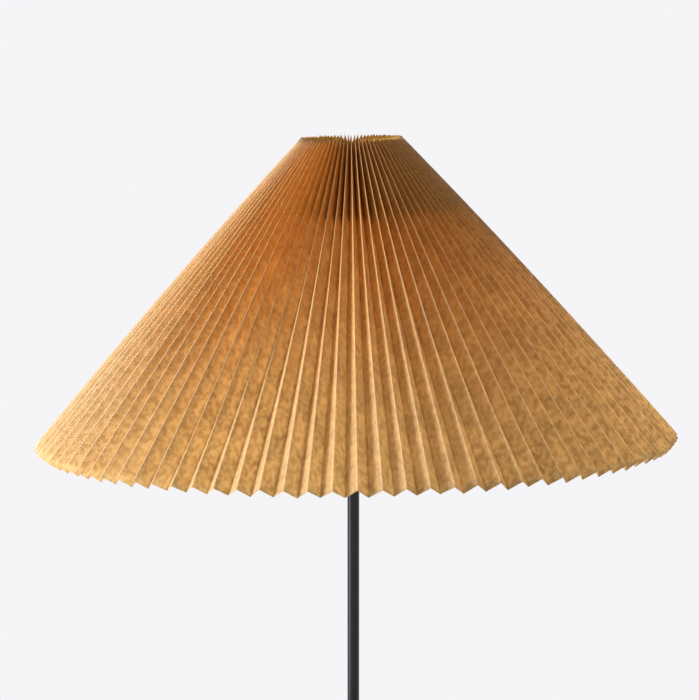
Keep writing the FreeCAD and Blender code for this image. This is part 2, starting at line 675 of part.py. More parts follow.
def make_lining(pleats):
    """Thin cone that the inner folds are glued to, between the two hoops."""
    seat = size("paper_seat")
    ends = []
    for name in ("upper", "lower"):
        slant = size(f"{name}_hoop_slant")
        ends.append([pleats.place(slant, pleats.inside(slant) + seat + wall)
                     for wall in (0, size("lining_thickness"))])
    corners = [ends[0][0], ends[1][0], ends[1][1], ends[0][1]]
    points = [FreeCAD.Vector(radius, 0, height) for radius, height in corners]
    face = Part.Face(Part.makePolygon(points + points[:1]))
    lining = doc.addObject("Part::Feature", "crown_lining")
    lining.Shape = face.revolve(FreeCAD.Vector(), FreeCAD.Vector(0, 0, 1), 360)
    lining.Placement = FreeCAD.Placement(FreeCAD.Vector(0, 0, size("shade_top")), FreeCAD.Rotation())
    keep(lining, "crown_lining")


def make_ribs():
    """Flat ribs from the upper hoop's lower face to the lower hoop's upper face."""
    wide = size("hoop_thickness")
    top = size("upper_hoop_middle") - size("hoop_width") / 2
    bottom = size("lower_hoop_middle") + size("hoop_width") / 2
    upper = size("upper_hoop_radius") - wide
    lower = size("lower_hoop_radius") - wide
    half = size("rib_thickness") / 2
    corners = [(upper, top), (upper + wide, top), (lower + wide, bottom), (lower, bottom)]
    points = [FreeCAD.Vector(radius, -half, height) for radius, height in corners]
    rib = Part.Face(Part.makePolygon(points + points[:1])).extrude(FreeCAD.Vector(0, 2 * half, 0))
    group("crown_ribs", around(rib, int(size("rib_count"))))


def make_finial():
    """Low disc that screws down on the stud and clamps the hub."""
    socket = "stud_radius + thread_fit"
    turned("finial", [
        (socket, "0"), ("finial_radius", "0"), ("finial_radius", "finial_height - finial_edge"),
        ("finial_radius - finial_edge", "finial_height"), ("0", "finial_height"),
        ("0", "finial_height - finial_edge"), (socket, "finial_height - finial_edge"),
    ], "hub_seat + hub_thickness + running_gap")


# ---------------------------------------------------------------- assembly


def derive(pleats):
    """Sizes that follow from the driving ones; each is kept in the spreadsheet too."""
    s = size
    found = {}
    found["weight_radius"] = s("base_radius") - s("cover_wall") - s("weight_gap")
    found["weight_thickness"] = s("cover_height") - s("cover_wall") - s("pad_thickness")
    found["grommet_length"] = s("cover_wall") + 2 * s("grommet_lip") + s("grommet_slack")
    found["foot_nipple_length"] = s("cover_height") - s("pad_thickness") - 1 + s("nipple_reach")
    found["middle_foot"] = s("cover_height") + s("lower_length") + s("joint_shoulder")
    found["upper_foot"] = found["middle_foot"] + s("middle_length") + s("joint_shoulder")
    found["pole_top"] = found["upper_foot"] + s("upper_length")
    found["cap_foot"] = found["pole_top"] + s("saddle_thickness")
    found["shell_foot"] = found["cap_foot"] + s("cap_floor") + s("socket_wall")
    found["shell_radius"] = s("socket_radius") - s("socket_wall") - s("slip_fit")
    found["liner_radius"] = found["shell_radius"] - s("socket_wall") - s("slip_fit")
    found["block_radius"] = found["liner_radius"] - s("liner_wall") - s("slip_fit")
    found["knob_axis"] = found["cap_foot"] + s("cap_height") + s("shaft_radius") + 2
    found["bulb_foot"] = found["shell_foot"] + s("block_height") + s("contact_height") + 0.3
    found["hub_seat"] = found["pole_top"] + s("harp_height")
    hub_middle = found["hub_seat"] + s("hub_thickness") / 2
    hoops = {}
    for name in ("upper", "lower"):
        slant = s(f"{name}_hoop_slant")
        inward = pleats.inside(slant) + s("paper_seat") + s("lining_thickness")
        radius, height = pleats.place(slant, inward)
        lean = s("hoop_width") / 2 * pleats.out / pleats.down
        hoops[name] = height
        found[f"{name}_hoop_radius"] = radius - lean - s("slip_fit")
    found["shade_top"] = hub_middle - hoops["upper"]
    for name in ("upper", "lower"):
        found[f"{name}_hoop_middle"] = found["shade_top"] + hoops[name]
    for name, number in found.items():
        record_size(name, number, "follows from the sizes above")


def main():
    """Build every piece, test it and write one STEP file for each."""
    for name, number, meaning in SIZES:
        record_size(name, number, meaning)
    doc.recompute()
    pleats = Pleats()
    derive(pleats)
    doc.recompute()
    make_base()
    make_pole()
    make_saddle()
    make_harp()
    make_socket()
    make_switch()
    make_bulb()
    make_shade(pleats)
    make_finial()
    doc.recompute()
    for feature in doc.Objects:
        if "Invalid" in feature.State or "Error" in feature.State:
            raise RuntimeError(f"{feature.Label} failed: {feature.State}")
    for feature in parts:
        if feature.Shape.isNull() or not feature.Shape.isValid() or feature.Shape.Volume <= 0:
            raise RuntimeError(f"{feature.Label} has no valid solid")
    os.makedirs("parts", exist_ok=True)
    for feature in parts:
        feature.Shape.exportStep(f"parts/{feature.Label}.step")
        print(f"{feature.Label}: {len(feature.Shape.Solids)} solid(s), {feature.Shape.Volume / 1000:.2f} cm3")


main()
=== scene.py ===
import logging
import math
import random
from dataclasses import dataclass, field, fields
from enum import Enum
from typing import Optional, Sequence, Union

import bmesh
import bpy
from mathutils import Matrix, Vector


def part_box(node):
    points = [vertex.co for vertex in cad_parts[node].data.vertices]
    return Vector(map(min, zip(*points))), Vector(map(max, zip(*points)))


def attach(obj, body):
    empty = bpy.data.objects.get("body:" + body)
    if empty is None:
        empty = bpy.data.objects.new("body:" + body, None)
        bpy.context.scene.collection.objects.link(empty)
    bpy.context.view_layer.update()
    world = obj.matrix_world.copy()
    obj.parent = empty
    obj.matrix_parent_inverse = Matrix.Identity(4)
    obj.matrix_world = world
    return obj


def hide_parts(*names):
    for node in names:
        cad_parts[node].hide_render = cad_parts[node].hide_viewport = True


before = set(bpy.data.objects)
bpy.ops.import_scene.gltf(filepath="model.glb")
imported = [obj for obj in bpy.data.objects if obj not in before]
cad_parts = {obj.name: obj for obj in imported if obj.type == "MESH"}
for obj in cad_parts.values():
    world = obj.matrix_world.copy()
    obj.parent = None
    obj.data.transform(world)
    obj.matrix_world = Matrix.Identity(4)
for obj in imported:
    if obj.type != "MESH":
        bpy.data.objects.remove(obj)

# A floor lamp: a wide cone of pleated kraft paper on a slim black pole with a round weighted base.
# Metres, +Z up, the origin on the floor at the middle of the base. The front faces -Y.

log = logging.getLogger("lamp")
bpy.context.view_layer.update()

NOISE_MIDDLE = 0.5
ROUNDING_STEPS = 4
ROUNDING_SHARE = 0.45
ON_AXIS = 1e-7
WELD_REACH = 1e-6
CRISP_ANGLE = 35.0

Colour = tuple[float, float, float]
Pair = tuple[float, float]
Outline = list[Pair]


# ---------------------------------------------------------------- shader graphs


class Signal:
    """One output socket; arithmetic on it adds the nodes that do it."""

    def __init__(self, graph: "Graph", socket: bpy.types.NodeSocket) -> None:
        """Keeps the socket and the graph that it belongs to."""
        self.graph = graph
        self.socket = socket

    def _apply(self, operation: str, first: "Value", second: "Value") -> "Signal":
        """Adds one Math node, or a Vector Math node for vectors.

        Args:
            operation: The node's operation.
            first: Its first value.
            second: Its second value.

        Returns:
            The result.
        """
        kind = "ShaderNodeVectorMath" if self.socket.type == "VECTOR" else "ShaderNodeMath"
        return self.graph.node(kind, {"operation": operation}, {0: first, 1: second})

    def __add__(self, other: "Value") -> "Signal":
        """The sum."""
        return self._apply("ADD", self, other)

    def __radd__(self, other: "Value") -> "Signal":
        """The sum, with the number on the left."""
        return self._apply("ADD", other, self)

    def __sub__(self, other: "Value") -> "Signal":
        """The difference."""
        return self._apply("SUBTRACT", self, other)

    def __rsub__(self, other: "Value") -> "Signal":
        """The difference, with the number on the left."""
        return self._apply("SUBTRACT", other, self)

    def __mul__(self, other: "Value") -> "Signal":
        """The product."""
        return self._apply("MULTIPLY", self, other)

    def __rmul__(self, other: "Value") -> "Signal":
        """The product, with the number on the left."""
        return self._apply("MULTIPLY", other, self)

    def ramp(self, low: float, high: float) -> "Signal":
        """Rises smoothly from 0 to 1.

        Args:
            low: The value at which the result is 0.
            high: The value at which the result is 1; it may be below low.

        Returns:
            The result, from 0 to 1.
        """
        if low > high:
            return 1 - self.ramp(high, low)
        return self.graph.node("ShaderNodeMapRange", {"interpolation_type": "SMOOTHSTEP"}, {
            "Value": self, "From Min": low, "From Max": high})


Value = Union[Signal, float, Sequence[float]]


@dataclass(frozen=True)
class Pattern:
    """A cloudy pattern: its size in metres, how many finer layers it has, and its stretch."""

    size: float
    detail: float
    stretch: tuple[float, float, float] = (1, 1, 1)


def pick(sockets: Sequence[bpy.types.NodeSocket], key: Union[int, str]) -> bpy.types.NodeSocket:
    """One of a node's sockets that are in use.

    Args:
        sockets: The node's inputs, or its outputs.
        key: The socket's name, or its number among those in use.

    Returns:
        The socket.
    """
    live = [s for s in sockets if s.enabled]
    return live[key] if isinstance(key, int) else next(s for s in live if s.name == key)


class Graph:
    """A node tree that is filled by one method."""

    def __init__(self, tree: bpy.types.NodeTree) -> None:
        """Empties the tree."""
        self.tree = tree
        tree.nodes.clear()

    def node(self, kind: str, settings: Optional[dict] = None, inputs: Optional[dict] = None,
             output: Union[int, str] = 0) -> Signal:
        """Adds a node.

        Args:
            kind: The node's type.
            settings: Its properties, which are set before its sockets.
            inputs: Socket name or number, and the value or signal that it takes.
            output: Name or number of the output that is wanted.

        Returns:
            That output, or the first input of a node that ends the tree.
        """
        made = self.tree.nodes.new(kind)
        for key, value in (settings or {}).items():
            setattr(made, key, value)
        for key, value in (inputs or {}).items():
            socket = pick(made.inputs, key)
            if isinstance(value, Signal):
                self.tree.links.new(value.socket, socket)
            else:
                socket.default_value = value
        if len(made.outputs) == 0:
            return Signal(self, made.inputs[0])
        return Signal(self, pick(made.outputs, output))

    def mix(self, factor: Value, first: Value, second: Value) -> Signal:
        """A colour between two.

        Args:
            factor: 0 for the first, 1 for the second.
            first: The first colour.
            second: The second colour.

        Returns:
            The mixed colour.
        """
        return self.node("ShaderNodeMix", {"data_type": "RGBA"}, {
            "Factor": factor, "A": rgba(first), "B": rgba(second)})

    def noise(self, place: Signal, pattern: Pattern) -> Signal:
        """Cloudy noise about its middle value.

        Args:
            place: Where on the surface, in metres.
            pattern: The size, layers and stretch of its blotches.

        Returns:
            The noise.
        """
        scale = tuple(1 / (pattern.size * s) for s in pattern.stretch)
        return self.node("ShaderNodeTexNoise", None, {
            "Vector": place * scale, "Scale": 1.0, "Detail": pattern.detail})

    def bump(self, height: Signal, depth: float) -> Signal:
        """A normal that follows a relief.

        Args:
            height: The relief, from 0 to 1.
            depth: How deep it is, in metres.

        Returns:
            The normal.
        """
        return self.node("ShaderNodeBump", None, {
            "Strength": 1.0, "Distance": depth, "Height": height})


def rgba(colour: Value) -> Value:
    """Gives a plain colour its fourth number."""
    return colour if isinstance(colour, Signal) else (*colour[:3], 1.0)


class Finish:
    """Something that makes a material, once."""

    name: str

    def material(self) -> bpy.types.Material:
        """Makes the finish's material when it is first asked for.

        Returns:
            The material.
        """
        title = f"finish_{self.name}"
        made = bpy.data.materials.get(title)
        if made is None:
            made = bpy.data.materials.new(title)
            made.use_nodes = True
            self.fill(Graph(made.node_tree))
        return made

    def fill(self, graph: Graph) -> None:
        """Builds the node tree.

        Args:
            graph: The empty tree.
        """
        raise NotImplementedError

    def dress(self, *pieces: bpy.types.Object) -> None:
        """Gives the pieces this finish alone.

        Args:
            pieces: The pieces.
        """
        for piece in pieces:
            piece.data.materials.clear()
            piece.data.materials.append(self.material())


@dataclass(frozen=True)
class Coating(Finish):
    """An opaque finish with a mottled colour, an uneven gloss and a fine relief."""

    name: str
    colour: Colour
    second: Colour
    roughness: float
    uneven: float = 0.06
    cloud: float = 0.02
    grain: float = 0.0006
    relief: float = 0.00003
    stretch: tuple[float, float, float] = (1, 1, 1)
    metallic: float = 0.0
    coat: float = 0.0
    coat_roughness: float = 0.2
    specular: float = 0.5
    cloud_share: float = 0.7
    cloud_layers: float = 4.0
    grain_layers: float = 2.0
    ends: Pair = (0.3, 0.7)

    def fill(self, graph: Graph) -> None:
        """Builds the node tree.

        Args:
            graph: The empty tree.
        """
        place = graph.node("ShaderNodeTexCoord", output="Object")
        clouds = graph.noise(place, Pattern(self.cloud, self.cloud_layers))
        grain = graph.noise(place, Pattern(self.grain, self.grain_layers, self.stretch))
        tone = (clouds.ramp(*self.ends) * self.cloud_share
                + grain.ramp(*self.ends) * (1 - self.cloud_share))
        surface = graph.node("ShaderNodeBsdfPrincipled", None, {
            "Base Color": graph.mix(tone, self.colour, self.second),
            "Roughness": (self.roughness + (clouds - NOISE_MIDDLE) * self.uneven * 2
                          + (grain - NOISE_MIDDLE) * self.uneven),
            "Metallic": self.metallic,
            "Specular IOR Level": self.specular,
            "Coat Weight": self.coat,
            "Coat Roughness": self.coat_roughness,
            "Normal": graph.bump(grain, self.relief),
        })
        graph.node("ShaderNodeOutputMaterial", None, {"Surface": surface})


@dataclass(frozen=True)
class KraftPaper(Finish):
    """Brown kraft paper: cloudy and fibrous, with a painted highlight on its outer folds that is
    partly real wear, painted shade in its inner folds and a deeper orange painted shade towards the
    top, and letting some light through.

    Each pair that is called ends holds the values between which a part of the pattern fades in.
    """

    name: str = "kraft_paper"
    light: Colour = (0.82, 0.625, 0.355)
    dark: Colour = (0.57, 0.365, 0.150)
    # The two colours for the top are painted shade: a deeper orange for the top of the shade.
    painted_shade_top_pale: Colour = (0.95, 0.54, 0.120)
    painted_shade_top_deep: Colour = (0.82, 0.380, 0.060)
    # This colour is partly a painted highlight on the outer folds and partly their pale wear.
    ridge_wear_and_highlight: Colour = (0.98, 0.85, 0.66)
    # This colour is painted shade in the inner folds, and also the colour of the dark flecks.
    fleck_and_painted_crease_shade: Colour = (0.30, 0.12, 0.035)
    glow: Colour = (0.93, 0.74, 0.42)
    clouds: Pattern = Pattern(0.0052, 3.0, (1, 1.25, 1))
    broad: Pattern = Pattern(0.030, 2.0)
    fibres: Pattern = Pattern(0.0016, 2.0, (1, 4, 1))
    flecks: Pattern = Pattern(0.0021, 1.0, (3, 1, 1))
    cloud_ends: Pair = (0.37, 0.63)
    broad_ends: Pair = (0.35, 0.65)
    fibre_ends: Pair = (0.3, 0.7)
    fleck_ends: Pair = (0.66, 0.76)
    painted_shade_fade_ends: Pair = (0.03, 0.40)
    painted_crease_shade_ends: Pair = (0.80, 1.0)
    ridge_width: float = 0.085
    tone_shares: tuple[float, float, float] = (0.60, 0.30, 0.10)
    fleck_strength: float = 0.14
    ridge_strength: Pair = (0.55, 0.35)
    painted_crease_shade_strength: float = 0.7
    relief: float = 0.00003
    relief_shares: Pair = (0.4, 0.6)
    roughness: float = 0.78
    uneven: float = 0.2
    ridge_gloss: float = 0.12
    specular: float = 0.14
    lets_through: float = 0.40
    through_shares: tuple[float, float, float, float] = (0.38, 0.36, 0.5, 0.25)

    def fill(self, graph: Graph) -> None:
        """Builds the node tree.

        Args:
            graph: The empty tree.
        """
        paper = graph.node("ShaderNodeAttribute", {"attribute_name": "paper"}, output="Vector")
        across, along, fold = (
            graph.node("ShaderNodeSeparateXYZ", None, {"Vector": paper}, output=axis)
            for axis in "XYZ")
        flat = graph.node("ShaderNodeCombineXYZ", None, {"X": across, "Y": along})
        clouds = graph.noise(flat, self.clouds)
        fibres = graph.noise(flat, self.fibres)
        by_cloud, by_broad, by_fibre = self.tone_shares
        tone = (clouds.ramp(*self.cloud_ends) * by_cloud
                + graph.noise(flat, self.broad).ramp(*self.broad_ends) * by_broad
                + fibres.ramp(*self.fibre_ends) * by_fibre)
        # Painted shade: near the top the paper is mixed towards the deeper orange colours, fading
        # out down the slant.
        down = along.ramp(*self.painted_shade_fade_ends)
        painted_shade_upper = graph.mix(tone, self.painted_shade_top_deep, self.painted_shade_top_pale)
        lower = graph.mix(tone, self.dark, self.light)
        flecks = graph.noise(flat, self.flecks).ramp(*self.fleck_ends)
        body = graph.mix(flecks * self.fleck_strength, graph.mix(down, painted_shade_upper, lower), self.fleck_and_painted_crease_shade)
        # Painted highlight along the outer folds, partly their pale wear, stronger down the slant.
        ridge_wear_and_highlight_mask = fold.ramp(self.ridge_width, 0.0)
        body = graph.mix(ridge_wear_and_highlight_mask * (self.ridge_strength[0] + self.ridge_strength[1] * down), body,
                         self.ridge_wear_and_highlight)
        # Painted shade darkens the inner folds.
        body = graph.mix(fold.ramp(*self.painted_crease_shade_ends) * self.painted_crease_shade_strength, body, self.fleck_and_painted_crease_shade)
        relief = fibres * self.relief_shares[0] + clouds * self.relief_shares[1]
        face = graph.node("ShaderNodeBsdfPrincipled", None, {
            "Base Color": body,
            "Roughness": (self.roughness + (clouds - NOISE_MIDDLE) * self.uneven
                          - ridge_wear_and_highlight_mask * self.ridge_gloss),
            "Specular IOR Level": self.specular,
            "Normal": graph.bump(relief, self.relief),
        })
        through = graph.node("ShaderNodeBsdfTranslucent", None, {"Color": rgba(self.glow)})
        everywhere, by_down, by_tone, by_ridge = self.through_shares
        share = self.lets_through * (
            everywhere + by_down * down + by_tone * tone + by_ridge * ridge_wear_and_highlight_mask)
        surface = graph.node("ShaderNodeMixShader", None, {0: share, 1: face, 2: through})
        graph.node("ShaderNodeOutputMaterial", None, {"Surface": surface})


@dataclass(frozen=True)
class OpalGlass(Finish):
    """Milky white glass, a little uneven in its whiteness, with a clear gloss."""

    name: str = "opal_glass"
    colour: Colour = (0.86, 0.85, 0.81)
    cloudy_tone: Colour = (0.78, 0.77, 0.74)
    clouds: Pattern = Pattern(0.03, 2.0)
    ripple: Pattern = Pattern(0.012, 1.0)
    relief: float = 0.00004
    roughness: float = 0.16
    uneven: float = 0.06
    coat: float = 0.5
    coat_roughness: float = 0.06

    def fill(self, graph: Graph) -> None:
        """Builds the node tree.

        Args:
            graph: The empty tree.
        """
        place = graph.node("ShaderNodeTexCoord", output="Object")
        clouds = graph.noise(place, self.clouds)
        surface = graph.node("ShaderNodeBsdfPrincipled", None, {
            "Base Color": graph.mix(clouds, self.colour, self.cloudy_tone),
            "Roughness": self.roughness + clouds * self.uneven,
            "Coat Weight": self.coat,
            "Coat Roughness": self.coat_roughness,
            "Normal": graph.bump(graph.noise(place, self.ripple), self.relief),
        })
        graph.node("ShaderNodeOutputMaterial", None, {"Surface": surface})


@dataclass(frozen=True)
class Floor(Finish):
    """Pale studio floor that runs into the backdrop towards its edge."""

    name: str = "studio_floor"
    colour: Colour = (0.68, 0.675, 0.69)
    backdrop: Colour = (0.913, 0.905, 0.930)
    clouds: Pattern = Pattern(0.4, 2.0)
    uneven: float = 0.1
    roughness: float = 0.85
    near: float = 1.3
    far: float = 3.0

    def fill(self, graph: Graph) -> None:
        """Builds the node tree.

        Args:
            graph: The empty tree.
        """
        place = graph.node("ShaderNodeTexCoord", output="Object")
        away = graph.node("ShaderNodeVectorMath", {"operation": "LENGTH"}, {0: place},
                          output="Value")
        clouds = graph.noise(place, self.clouds)
        plain = graph.node("ShaderNodeBsdfPrincipled", None, {
            "Base Color": graph.mix(clouds * self.uneven, self.colour, self.backdrop),
            "Roughness": self.roughness,
        })
        bright = graph.node("ShaderNodeEmission", None, {"Color": rgba(self.backdrop)})
        factor = away.ramp(self.near, self.far) * seen_directly(graph)
        surface = graph.node("ShaderNodeMixShader", None, {0: factor, 1: plain, 2: bright})
        graph.node("ShaderNodeOutputMaterial", None, {"Surface": surface})


def seen_directly(graph: Graph) -> Signal:
    """1 for rays from the camera, off a gloss or through glass; 0 for light that falls on things.

    Args:
        graph: The tree that asks.

    Returns:
        The mask.
    """
    rays = [graph.node("ShaderNodeLightPath", output=name)
            for name in ("Is Camera Ray", "Is Glossy Ray", "Is Transmission Ray")]
    return graph.node("ShaderNodeMath", {"operation": "MINIMUM"}, {
        0: rays[0] + rays[1] + rays[2], 1: 1.0})


SATIN_BLACK = Coating(
    "satin_black", (0.007, 0.0055, 0.008), (0.013, 0.011, 0.015),
    roughness=0.24, uneven=0.04, cloud=0.03, grain=0.0007, relief=0.00002, specular=0.32)
BLACK_WIRE = Coating(
    "black_wire", (0.014, 0.013, 0.013), (0.030, 0.027, 0.025),
    roughness=0.48, uneven=0.08, cloud=0.01, grain=0.0005, relief=0.00004)
CAST_IRON = Coating(
    "cast_iron", (0.085, 0.083, 0.082), (0.14, 0.13, 0.125),
    roughness=0.72, uneven=0.12, cloud=0.02, grain=0.0011, relief=0.00018, metallic=0.5)
FELT = Coating(
    "felt", (0.030, 0.030, 0.032), (0.060, 0.058, 0.060),
    roughness=0.95, uneven=0.04, cloud=0.004, grain=0.0007, relief=0.0003)
RUBBER = Coating(
    "grommet_rubber", (0.018, 0.018, 0.019), (0.032, 0.031, 0.031),
    roughness=0.62, uneven=0.08, cloud=0.004, grain=0.0004, relief=0.00003)
PLATED_STEEL = Coating(
    "plated_steel", (0.56, 0.55, 0.53), (0.68, 0.67, 0.64),
    roughness=0.30, uneven=0.12, cloud=0.008, grain=0.0005, relief=0.00002, stretch=(1, 1, 6),
    metallic=1.0)
SOCKET_BRASS = Coating(
    "socket_brass", (0.62, 0.42, 0.17), (0.74, 0.53, 0.25),
    roughness=0.30, uneven=0.12, cloud=0.01, grain=0.0004, relief=0.00002, stretch=(5, 5, 1),
    metallic=1.0)
SOCKET_CARD = Coating(
    "socket_card", (0.20, 0.165, 0.13), (0.28, 0.235, 0.185),
    roughness=0.88, uneven=0.06, cloud=0.006, grain=0.0006, relief=0.00008, stretch=(1, 1, 5))
PHENOLIC = Coating(
    "phenolic", (0.022, 0.016, 0.013), (0.040, 0.030, 0.024),
    roughness=0.36, uneven=0.08, cloud=0.005, grain=0.0005, relief=0.00002, coat=0.2)
KNOB_PLASTIC = Coating(
    "knob_plastic", (0.016, 0.016, 0.017), (0.026, 0.025, 0.026),
    roughness=0.34, uneven=0.08, cloud=0.004, grain=0.0003, relief=0.00002, coat=0.2)
CAP_METAL = Coating(
    "cap_aluminium", (0.70, 0.70, 0.71), (0.80, 0.80, 0.80),
    roughness=0.28, uneven=0.10, cloud=0.006, grain=0.0004, relief=0.00002, stretch=(5, 5, 1),
    metallic=1.0)
LINING_CARD = Coating(
    "lining_card", (0.115, 0.060, 0.028), (0.16, 0.085, 0.04),
    roughness=0.85, uneven=0.06, cloud=0.01, grain=0.0008, relief=0.0001)
KRAFT = KraftPaper()
OPAL = OpalGlass()


# ---------------------------------------------------------------- mesh tools


class Axis(Enum):
    """Which way a turned piece's own axis points."""

    UP = "up"
    BACK = "back"


def settle(name: str, verts: Sequence[Sequence[float]], faces: Sequence[Sequence[int]],
           sharp: float = 40.0) -> bpy.types.Object:
    """Makes an object from points and faces.

    Args:
        name: The piece's name.
        verts: Its points, in metres.
        faces: The points of each face.
        sharp: Edges that turn by more degrees than this stay crisp.

    Returns:
        The object, in the scene, smooth apart from its crisp edges.
    """
    mesh = bpy.data.meshes.new(name)
    mesh.from_pydata([tuple(v) for v in verts], [], [tuple(f) for f in faces])
    work = bmesh.new()
    work.from_mesh(mesh)
    bmesh.ops.recalc_face_normals(work, faces=work.faces)
    work.to_mesh(mesh)
    work.free()
    mesh.shade_smooth()
    mesh.set_sharp_from_angle(angle=math.radians(sharp))
    made = bpy.data.objects.new(name, mesh)
    bpy.context.scene.collection.objects.link(made)
    return made


def curve(start: Vector, corner: Vector, end: Vector, steps: int) -> Outline:
    """The curve that rounds a corner.

    Args:
        start: Its first point.
        corner: The corner that it rounds.
        end: Its last point.
        steps: How many pieces it has.

    Returns:
        Its points.
    """
    points: Outline = []
    for step in range(steps + 1):
        t = step / steps
        points.append(tuple(start * (1 - t) ** 2 + corner * 2 * t * (1 - t) + end * t**2))
    return points


def soften(points: Outline, radius: float, closed: bool = True) -> Outline:
    """Rounds the corners of an outline.

    Args:
        points: Its corners.
        radius: How far from a corner the rounding starts.
        closed: Whether the last point joins the first one.

    Returns:
        The rounded outline.
    """
    rounded: Outline = []
    count = len(points)
    for i, corner in enumerate(points):
        if not closed and i in (0, count - 1):
            rounded.append(corner)
            continue
        here = Vector(corner)
        before, after = Vector(points[i - 1]) - here, Vector(points[(i + 1) % count]) - here
        reach = min(radius, ROUNDING_SHARE * before.length, ROUNDING_SHARE * after.length)
        start, end = here + before.normalized() * reach, here + after.normalized() * reach
        rounded += curve(start, here, end, ROUNDING_STEPS)
    return rounded


def turn(name: str, outline: Outline, foot: Sequence[float] = (0, 0, 0), axis: Axis = Axis.UP,
         closed: bool = True, sides: int = 96) -> bpy.types.Object:
    """Spins an outline round an axis.

    Args:
        name: The piece's name.
        outline: Radius and height of its points.
        foot: Where height 0 of the axis is.
        axis: Which way the axis points.
        closed: Whether the last point joins the first one, as for a ring.
        sides: How many steps make a full turn.

    Returns:
        The piece.
    """
    verts: list[Vector] = []
    rings: list[list[int]] = []
    for radius, height in outline:
        ring = []
        for k in range(sides if radius > ON_AXIS else 1):
            angle = 2 * math.pi * k / sides
            ring.append(len(verts))
            verts.append(Vector((radius * math.cos(angle), radius * math.sin(angle), height)))
        rings.append(ring)
    faces = []
    last = len(rings) if closed else len(rings) - 1
    for i in range(last):
        a, b = rings[i], rings[(i + 1) % len(rings)]
        for k in range(sides):
            n = (k + 1) % sides
            if len(a) == 1 and len(b) == 1:
                continue
            if len(a) == 1:
                faces.append((a[0], b[k], b[n]))
            elif len(b) == 1:
                faces.append((a[k], a[n], b[0]))
            else:
                faces.append((a[k], a[n], b[n], b[k]))
    if axis is Axis.BACK:
        tip = Matrix.Rotation(-math.pi / 2, 3, "X")
        verts = [tip @ v for v in verts]
    return settle(name, [v + Vector(foot) for v in verts], faces)


def bend(name: str, path: Sequence[Vector], radius: float, sides: int = 24) -> bpy.types.Object:
    """A round wire along a path, closed at both ends.

    Args:
        name: The piece's name.
        path: The points of its middle line.
        radius: Radius of the wire.
        sides: How many sides its section has.

    Returns:
        The piece.
    """
    verts, faces = [], []
    side = Vector((0, 1, 0))
    for i, point in enumerate(path):
        ahead = (path[min(i + 1, len(path) - 1)] - path[max(i - 1, 0)]).normalized()
        side = (side - ahead * side.dot(ahead)).normalized()
        other = ahead.cross(side)
        for k in range(sides):
            angle = 2 * math.pi * k / sides
            verts.append(point + (side * math.cos(angle) + other * math.sin(angle)) * radius)
    for i in range(len(path) - 1):
        for k in range(sides):
            a, b = i * sides + k, i * sides + (k + 1) % sides
            faces.append((a, b, b + sides, a + sides))
    faces.append(tuple(range(sides)))
    faces.append(tuple(range(len(verts) - sides, len(verts))))
    return settle(name, verts, faces)


def ring_outline(inner: float, outer: float, low: float, high: float, edge: float) -> Outline:
    """The softened section of a plain ring or tube.

    Args:
        inner: Inner radius.
        outer: Outer radius.
        low: Height of its foot.
        high: Height of its top.
        edge: Rounding of its edges.

    Returns:
        The outline.
    """
    return soften([(inner, low), (outer, low), (outer, high), (inner, high)], edge)


def carry(finish: Finish, *names: str) -> None:
    """Shows CAD nodes as they are, smooth, in a finish.

    Args:
        finish: Their finish.
        names: The nodes.
    """
    for name in names:
        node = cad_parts[name]
        finish.dress(node)
        node.data.shade_smooth()
        node.modifiers.new("join", "WELD").merge_threshold = WELD_REACH
        node.modifiers.new("crisp", "EDGE_SPLIT").split_angle = math.radians(CRISP_ANGLE)
        log.info("%s keeps its own shape in %s", name, finish.name)


def stand_in(piece: bpy.types.Object, finish: Finish, body: str, *names: str) -> bpy.types.Object:
    """Puts a finer piece in the place of CAD nodes.

    Args:
        piece: The piece.
        finish: Its finish.
        body: The body that it moves with.
        names: The nodes that it stands for.

    Returns:
        The piece.
    """
    finish.dress(piece)
    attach(piece, body)
    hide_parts(*names)
    log.info("%s stands for %s", piece.name, ", ".join(names))
    return piece


# ---------------------------------------------------------------- shade


@dataclass(frozen=True)
class FoldQuirk:
    """How one hand-made fold differs from the rest, each value from -1 to 1, in the order drawn.

    Nothing uses the spare one, which keeps the other draws in their order.
    """

    wave: float
    ripple: float
    phase: float
    foot_trim: float
    head_trim: float
    drift: float
    sag: float
    spare: float


